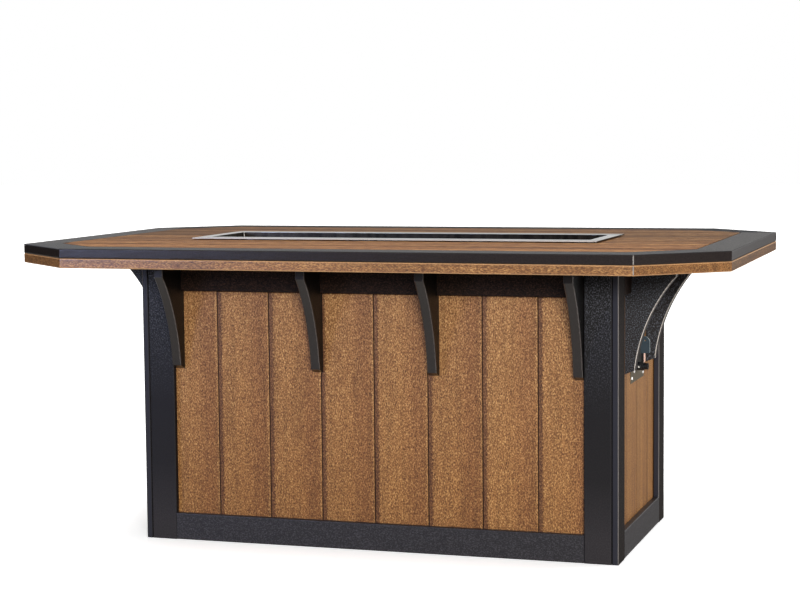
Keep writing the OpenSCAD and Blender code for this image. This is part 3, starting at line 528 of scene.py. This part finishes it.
# The corbels' arris colours are painted highlights, faint on the front ones and bright on the end
# ones, and the pale blue-grey tips of the end corbels' stipple are painted glints
long_corbel = black_corbel("black_poly_lumber_front_corbels", "X", STIPPLE_W,
                           (LOW_TONE, "#0d0a08", "#16110f"), ("#1a1513", "#25201e"),
                           arris="#4a4441", gloss=0.2, edge_gloss=0.6)
end_corbel = black_corbel("black_poly_lumber_end_corbels", "Y", 2.1,
                          (LOW_TONE, "#120f0f", "#565a64"), EDGE_TONES,
                          arris="#d8cfc6", gloss=0.4)
corner = black_corner("black_poly_lumber_corners")
RAIL_TONES = ("#120f11", "#201c1e", "#3e3b3f")
long_rail, end_rail = [
    black_rail(f"black_poly_lumber_{side}_rails", axis, RAIL_TONES, rough=FACE_ROUGH,
               gloss=0.5, relief=0.4) for side, axis in (("long", "X"), ("end", "Y"))]
# The headers are flatter and browner than the rails
HEADER_TONES = ("#0f0a07", "#1d120d", "#38251b")
long_header, end_header = [
    black_rail(f"black_poly_lumber_{side}headers", axis, HEADER_TONES, rough=0.6, gloss=0.1,
               relief=0.1) for side, axis in (("", "X"), ("end_", "Y"))]
long_border = black_border("black_poly_lumber_border_long", "X", tips="#424248", gloss=0.38,
                           edge_rough=0.28, edge_relief=0.45)
end_border = black_border("black_poly_lumber_border_end", "Y", tips="#56504e", gloss=0.42,
                          edge_rough=0.55, edge_relief=EDGE_RELIEF)

trough = steel_trough("stainless_steel_trough")
# Turned and satin brushed fittings of the drain
drain_steel = brushed("stainless_steel_brushed", "#c4c6c6", 0.24)
# Plate brushed upwards, warm grey, with painted shade darkening its upper part
plate = brushed("stainless_steel_plate", "#948872", 0.34, "Z", width=0.8,
                painted_shade_above=PLATE_SHADE_Z)
# Turned screws and stem: pale, and rather dull for their fine lines
screw = brushed("stainless_steel_screws", "#f2f2f0", 0.34, width=0.5)
# Chromed brass is polished: a clear mirror
ball = brushed("chromed_brass_ball", "#d8dade", 0.08)
# Bright zinc plating, drawn as an even pale skin that is a painted highlight, because the heads
# are a few pixels wide
plate_screw = moulded("bright_zinc_plated_screws", "#ffffff", 0.3)
# Moulded and extruded PVC: an even off-white with a soft shine
pipe = moulded("white_pvc_pipe", "#e3e2dc", 0.35)
# Cut EPDM sheet: matt black
seal = moulded("black_epdm_seal", "#141414", 0.75)
# Baked enamel on cast brass: satin blue-black with a shallow peel
valve = moulded("black_painted_brass_valve", "#15171b", 0.28, width=0.6, depth=0.05)
# Turned PTFE: soft white and dull
seat = moulded("white_ptfe_seats", "#eeeeea", 0.5)
# Vinyl dipped hot: blue-grey and smooth, with a paler painted highlight along its rims
grip = moulded("blue_grey_dipped_vinyl_grip", "#36434b", 0.30, width=0.8, painted_highlight="#98a4a6")
# Powder coat over steel strip: satin black, with a warm bright painted highlight beyond the bend
lever = moulded("black_coated_steel_lever", "#0c0c0e", 0.35, width=0.8, painted_highlight="#f3cbb8",
                fold=LEVER_FOLD_X)

LOOKS = {
    "front_boards": long_wall, "back_boards": long_wall,
    "left_boards": end_wall, "right_boards": end_wall,
    "band_front": long_band, "band_back": long_band,
    "band_left": end_band, "band_right": end_band, "band_corners": corner_band,
    "battens": end_band,
    "deck_planks_front": planks, "deck_planks_back": planks, "deck_planks_middle": planks,
    "notched_plank_front": planks, "notched_plank_back": planks,
    "front_corbels": long_corbel, "back_corbels": long_corbel,
    "left_corbels": end_corbel, "right_corbels": end_corbel,
    "front_left_corner_boards": corner, "front_right_corner_boards": corner,
    "back_left_corner_boards": corner, "back_right_corner_boards": corner,
    "corner_posts": corner,
    "front_bottom_rail": long_rail, "back_bottom_rail": long_rail,
    "left_bottom_rail": end_rail, "right_bottom_rail": end_rail,
    "bottom_nailers": long_rail, "top_nailers": long_rail,
    "front_header": long_header, "back_header": long_header,
    "left_header": end_header, "right_header": end_header,
    "border_front": long_border, "border_back": long_border, "border_corners": long_border,
    "border_left": end_border, "border_right": end_border,
    "ice_trough": trough, "trough_seal": seal,
    "drain_flange": drain_steel, "drain_strainer": drain_steel, "drain_locknut": screw,
    "drain_gasket": seal, "drain_elbow": pipe, "drain_pipe": pipe, "valve_coupling": pipe,
    "corbel_screws": screw, "plate_screws": plate_screw, "valve_plate": plate,
    "valve_body": valve, "hose_outlet": valve, "valve_seats": seat, "valve_ball": ball,
    "valve_stem": screw, "lever_nut": valve, "valve_lever": lever, "lever_grip": grip,
}
for name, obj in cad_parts.items():
    obj.data.materials.clear()
    obj.data.materials.append(LOOKS[name])

# Pale painted floor: nearly white to the camera, and darker in what it throws up at the object
FLOOR_SIZE = 60.0
FLOOR_GLOW = 0.48
bpy.ops.mesh.primitive_plane_add(size=FLOOR_SIZE, location=(0.0, 0.0, 0.0))
floor = bpy.context.object
floor.name = "floor"
floor_mat, floor_tree, floor_bsdf = material("pale_floor")
seen = add(floor_tree, "LightPath", {}, "Is Camera Ray")
plug(floor_bsdf, {
    "Base Color": layered(floor_tree, "#a2a09e", (seen, "#fdfdfd")),
    "Roughness": 0.9,
    "Emission Color": "#ffffff",
    "Emission Strength": add(floor_tree, "Math", {0: seen, 1: FLOOR_GLOW},
                             operation="MULTIPLY")})
floor.data.materials.append(floor_mat)
floor.visible_glossy = False

# White sky to the camera and a soft grey light on the object. What shines back is a pale
# backdrop behind and a dim cool room in front, darker low down.
AMBIENT = 0.30
world = bpy.data.worlds.new("studio")
bpy.context.scene.world = world
world.use_nodes = True
sky = world.node_tree
seen = add(sky, "Math", {0: add(sky, "LightPath", {}, "Is Camera Ray"),
                         1: add(sky, "LightPath", {}, "Is Transmission Ray")},
           operation="MAXIMUM")
unseen = add(sky, "Math", {0: 1.0, 1: seen}, operation="SUBTRACT")
glossy = every(sky, add(sky, "LightPath", {}, "Is Glossy Ray"), unseen)
way = add(sky, "TexCoord", {}, "Generated")
height, depth = [
    add(sky, "Math", {0: add(sky, "SeparateXYZ", {0: way}, axis), 1: 0.5, 2: 0.5},
        operation="MULTIPLY_ADD") for axis in ("Z", "Y")]
front_room = add(sky, "ValToRGB", {0: height}, stops=[
    (0.36, "#c4c0bc"), (0.41, "#121214"), (0.55, "#141518"), (0.60, "#8f98a8"),
    (0.72, "#8f98a8"), (0.82, "#5c6066"), (0.94, "#dcdcda")])
backdrop = add(sky, "ValToRGB", {0: height}, stops=[
    (0.28, "#c8c4c0"), (0.40, "#6e6c6a"), (0.49, "#6e6c6a"), (0.515, "#efeeec"),
    (0.66, "#d8d8d6"), (0.78, "#5c6066"), (0.94, "#dcdcda")])
behind = add(sky, "ValToRGB", {0: depth}, stops=[(0.78, "#000000"), (0.92, "#ffffff")])
room = layered(sky, front_room, (behind, backdrop))
level = add(sky, "Math", {0: seen, 1: glossy}, operation="MAXIMUM")
plug(sky.nodes["Background"], {
    "Color": layered(sky, "#ffffff", (glossy, room)),
    "Strength": add(sky, "Math", {0: level, 1: AMBIENT}, operation="MAXIMUM")})


def softbox(name, spot, target, width, height, power, color="#ffffff"):
    """Rectangular area lamp at spot, turned to face target."""
    lamp = bpy.data.lights.new(name, "AREA")
    lamp.shape = "RECTANGLE"
    lamp.size, lamp.size_y = width, height
    lamp.energy = power
    lamp.color = rgb(color)[:3]
    obj = bpy.data.objects.new(name, lamp)
    bpy.context.scene.collection.objects.link(obj)
    obj.location = spot
    obj.rotation_euler = (Vector(target) - Vector(spot)).to_track_quat("-Z", "Y").to_euler()
    return obj


softbox("key_right_front", (3.7, -8.4, 2.5), (0.0, 0.0, 0.4), width=2.8, height=1.5,
        power=640.0)
softbox("side_right_back", (5.0, 2.6, 1.5), (0.6, 0.0, 0.4), width=2.4, height=2.2,
        power=160.0)
# Two narrow lamps that only shine back from the glossy faces and edges
for name, spot, power, color in (("glint_left", (-3.0, -4.4, 1.5), 100.0, "#c0ceff"),
                                 ("glint_right", (4.8, -3.4, 0.5), 25.0, "#fff4ea")):
    glint = softbox(name, spot, (0.0, -0.4, 0.6), width=1.1, height=1.0, power=power,
                    color=color)
    glint.visible_diffuse = False

# Even light from above, as from a lit ceiling
ceiling = bpy.data.lights.new("ceiling", "SUN")
ceiling.energy = 3.0
ceiling.angle = math.radians(50.0)
ceiling_obj = bpy.data.objects.new("ceiling", ceiling)
bpy.context.scene.collection.objects.link(ceiling_obj)
ceiling_obj.visible_glossy = False

# The camera was fitted to the photograph: its place, its angles in radians, its focal length in
# the photograph's pixels, and its shift in frame widths
EYE = Vector((1.5438, -4.8473, 1.0467))
YAW, PITCH_DOWN, ROLL = 0.3121, 0.0886, -0.0094
FOCAL_PX = 1950.3
SHIFT_X, SHIFT_Y = -0.0016, 0.0039
PHOTO_WIDTH_PX = 800
SENSOR_WIDTH = 36.0

ahead = Vector((-math.sin(YAW) * math.cos(PITCH_DOWN), math.cos(YAW) * math.cos(PITCH_DOWN),
                -math.sin(PITCH_DOWN)))
right = Vector((math.cos(YAW), math.sin(YAW), 0.0))
up = right.cross(ahead)
right, up = (right * math.cos(ROLL) + up * math.sin(ROLL),
             up * math.cos(ROLL) - right * math.sin(ROLL))
cam = bpy.data.cameras.new("camera")
cam.sensor_width = SENSOR_WIDTH
cam.lens = FOCAL_PX / PHOTO_WIDTH_PX * SENSOR_WIDTH
cam.shift_x, cam.shift_y = SHIFT_X, SHIFT_Y
cam_obj = bpy.data.objects.new("camera", cam)
bpy.context.scene.collection.objects.link(cam_obj)
cam_obj.matrix_world = Matrix((
    (right.x, up.x, -ahead.x, EYE.x),
    (right.y, up.y, -ahead.y, EYE.y),
    (right.z, up.z, -ahead.z, EYE.z),
    (0.0, 0.0, 0.0, 1.0)))
bpy.context.scene.camera = cam_obj
bpy.context.scene.view_settings.view_transform = "Standard"
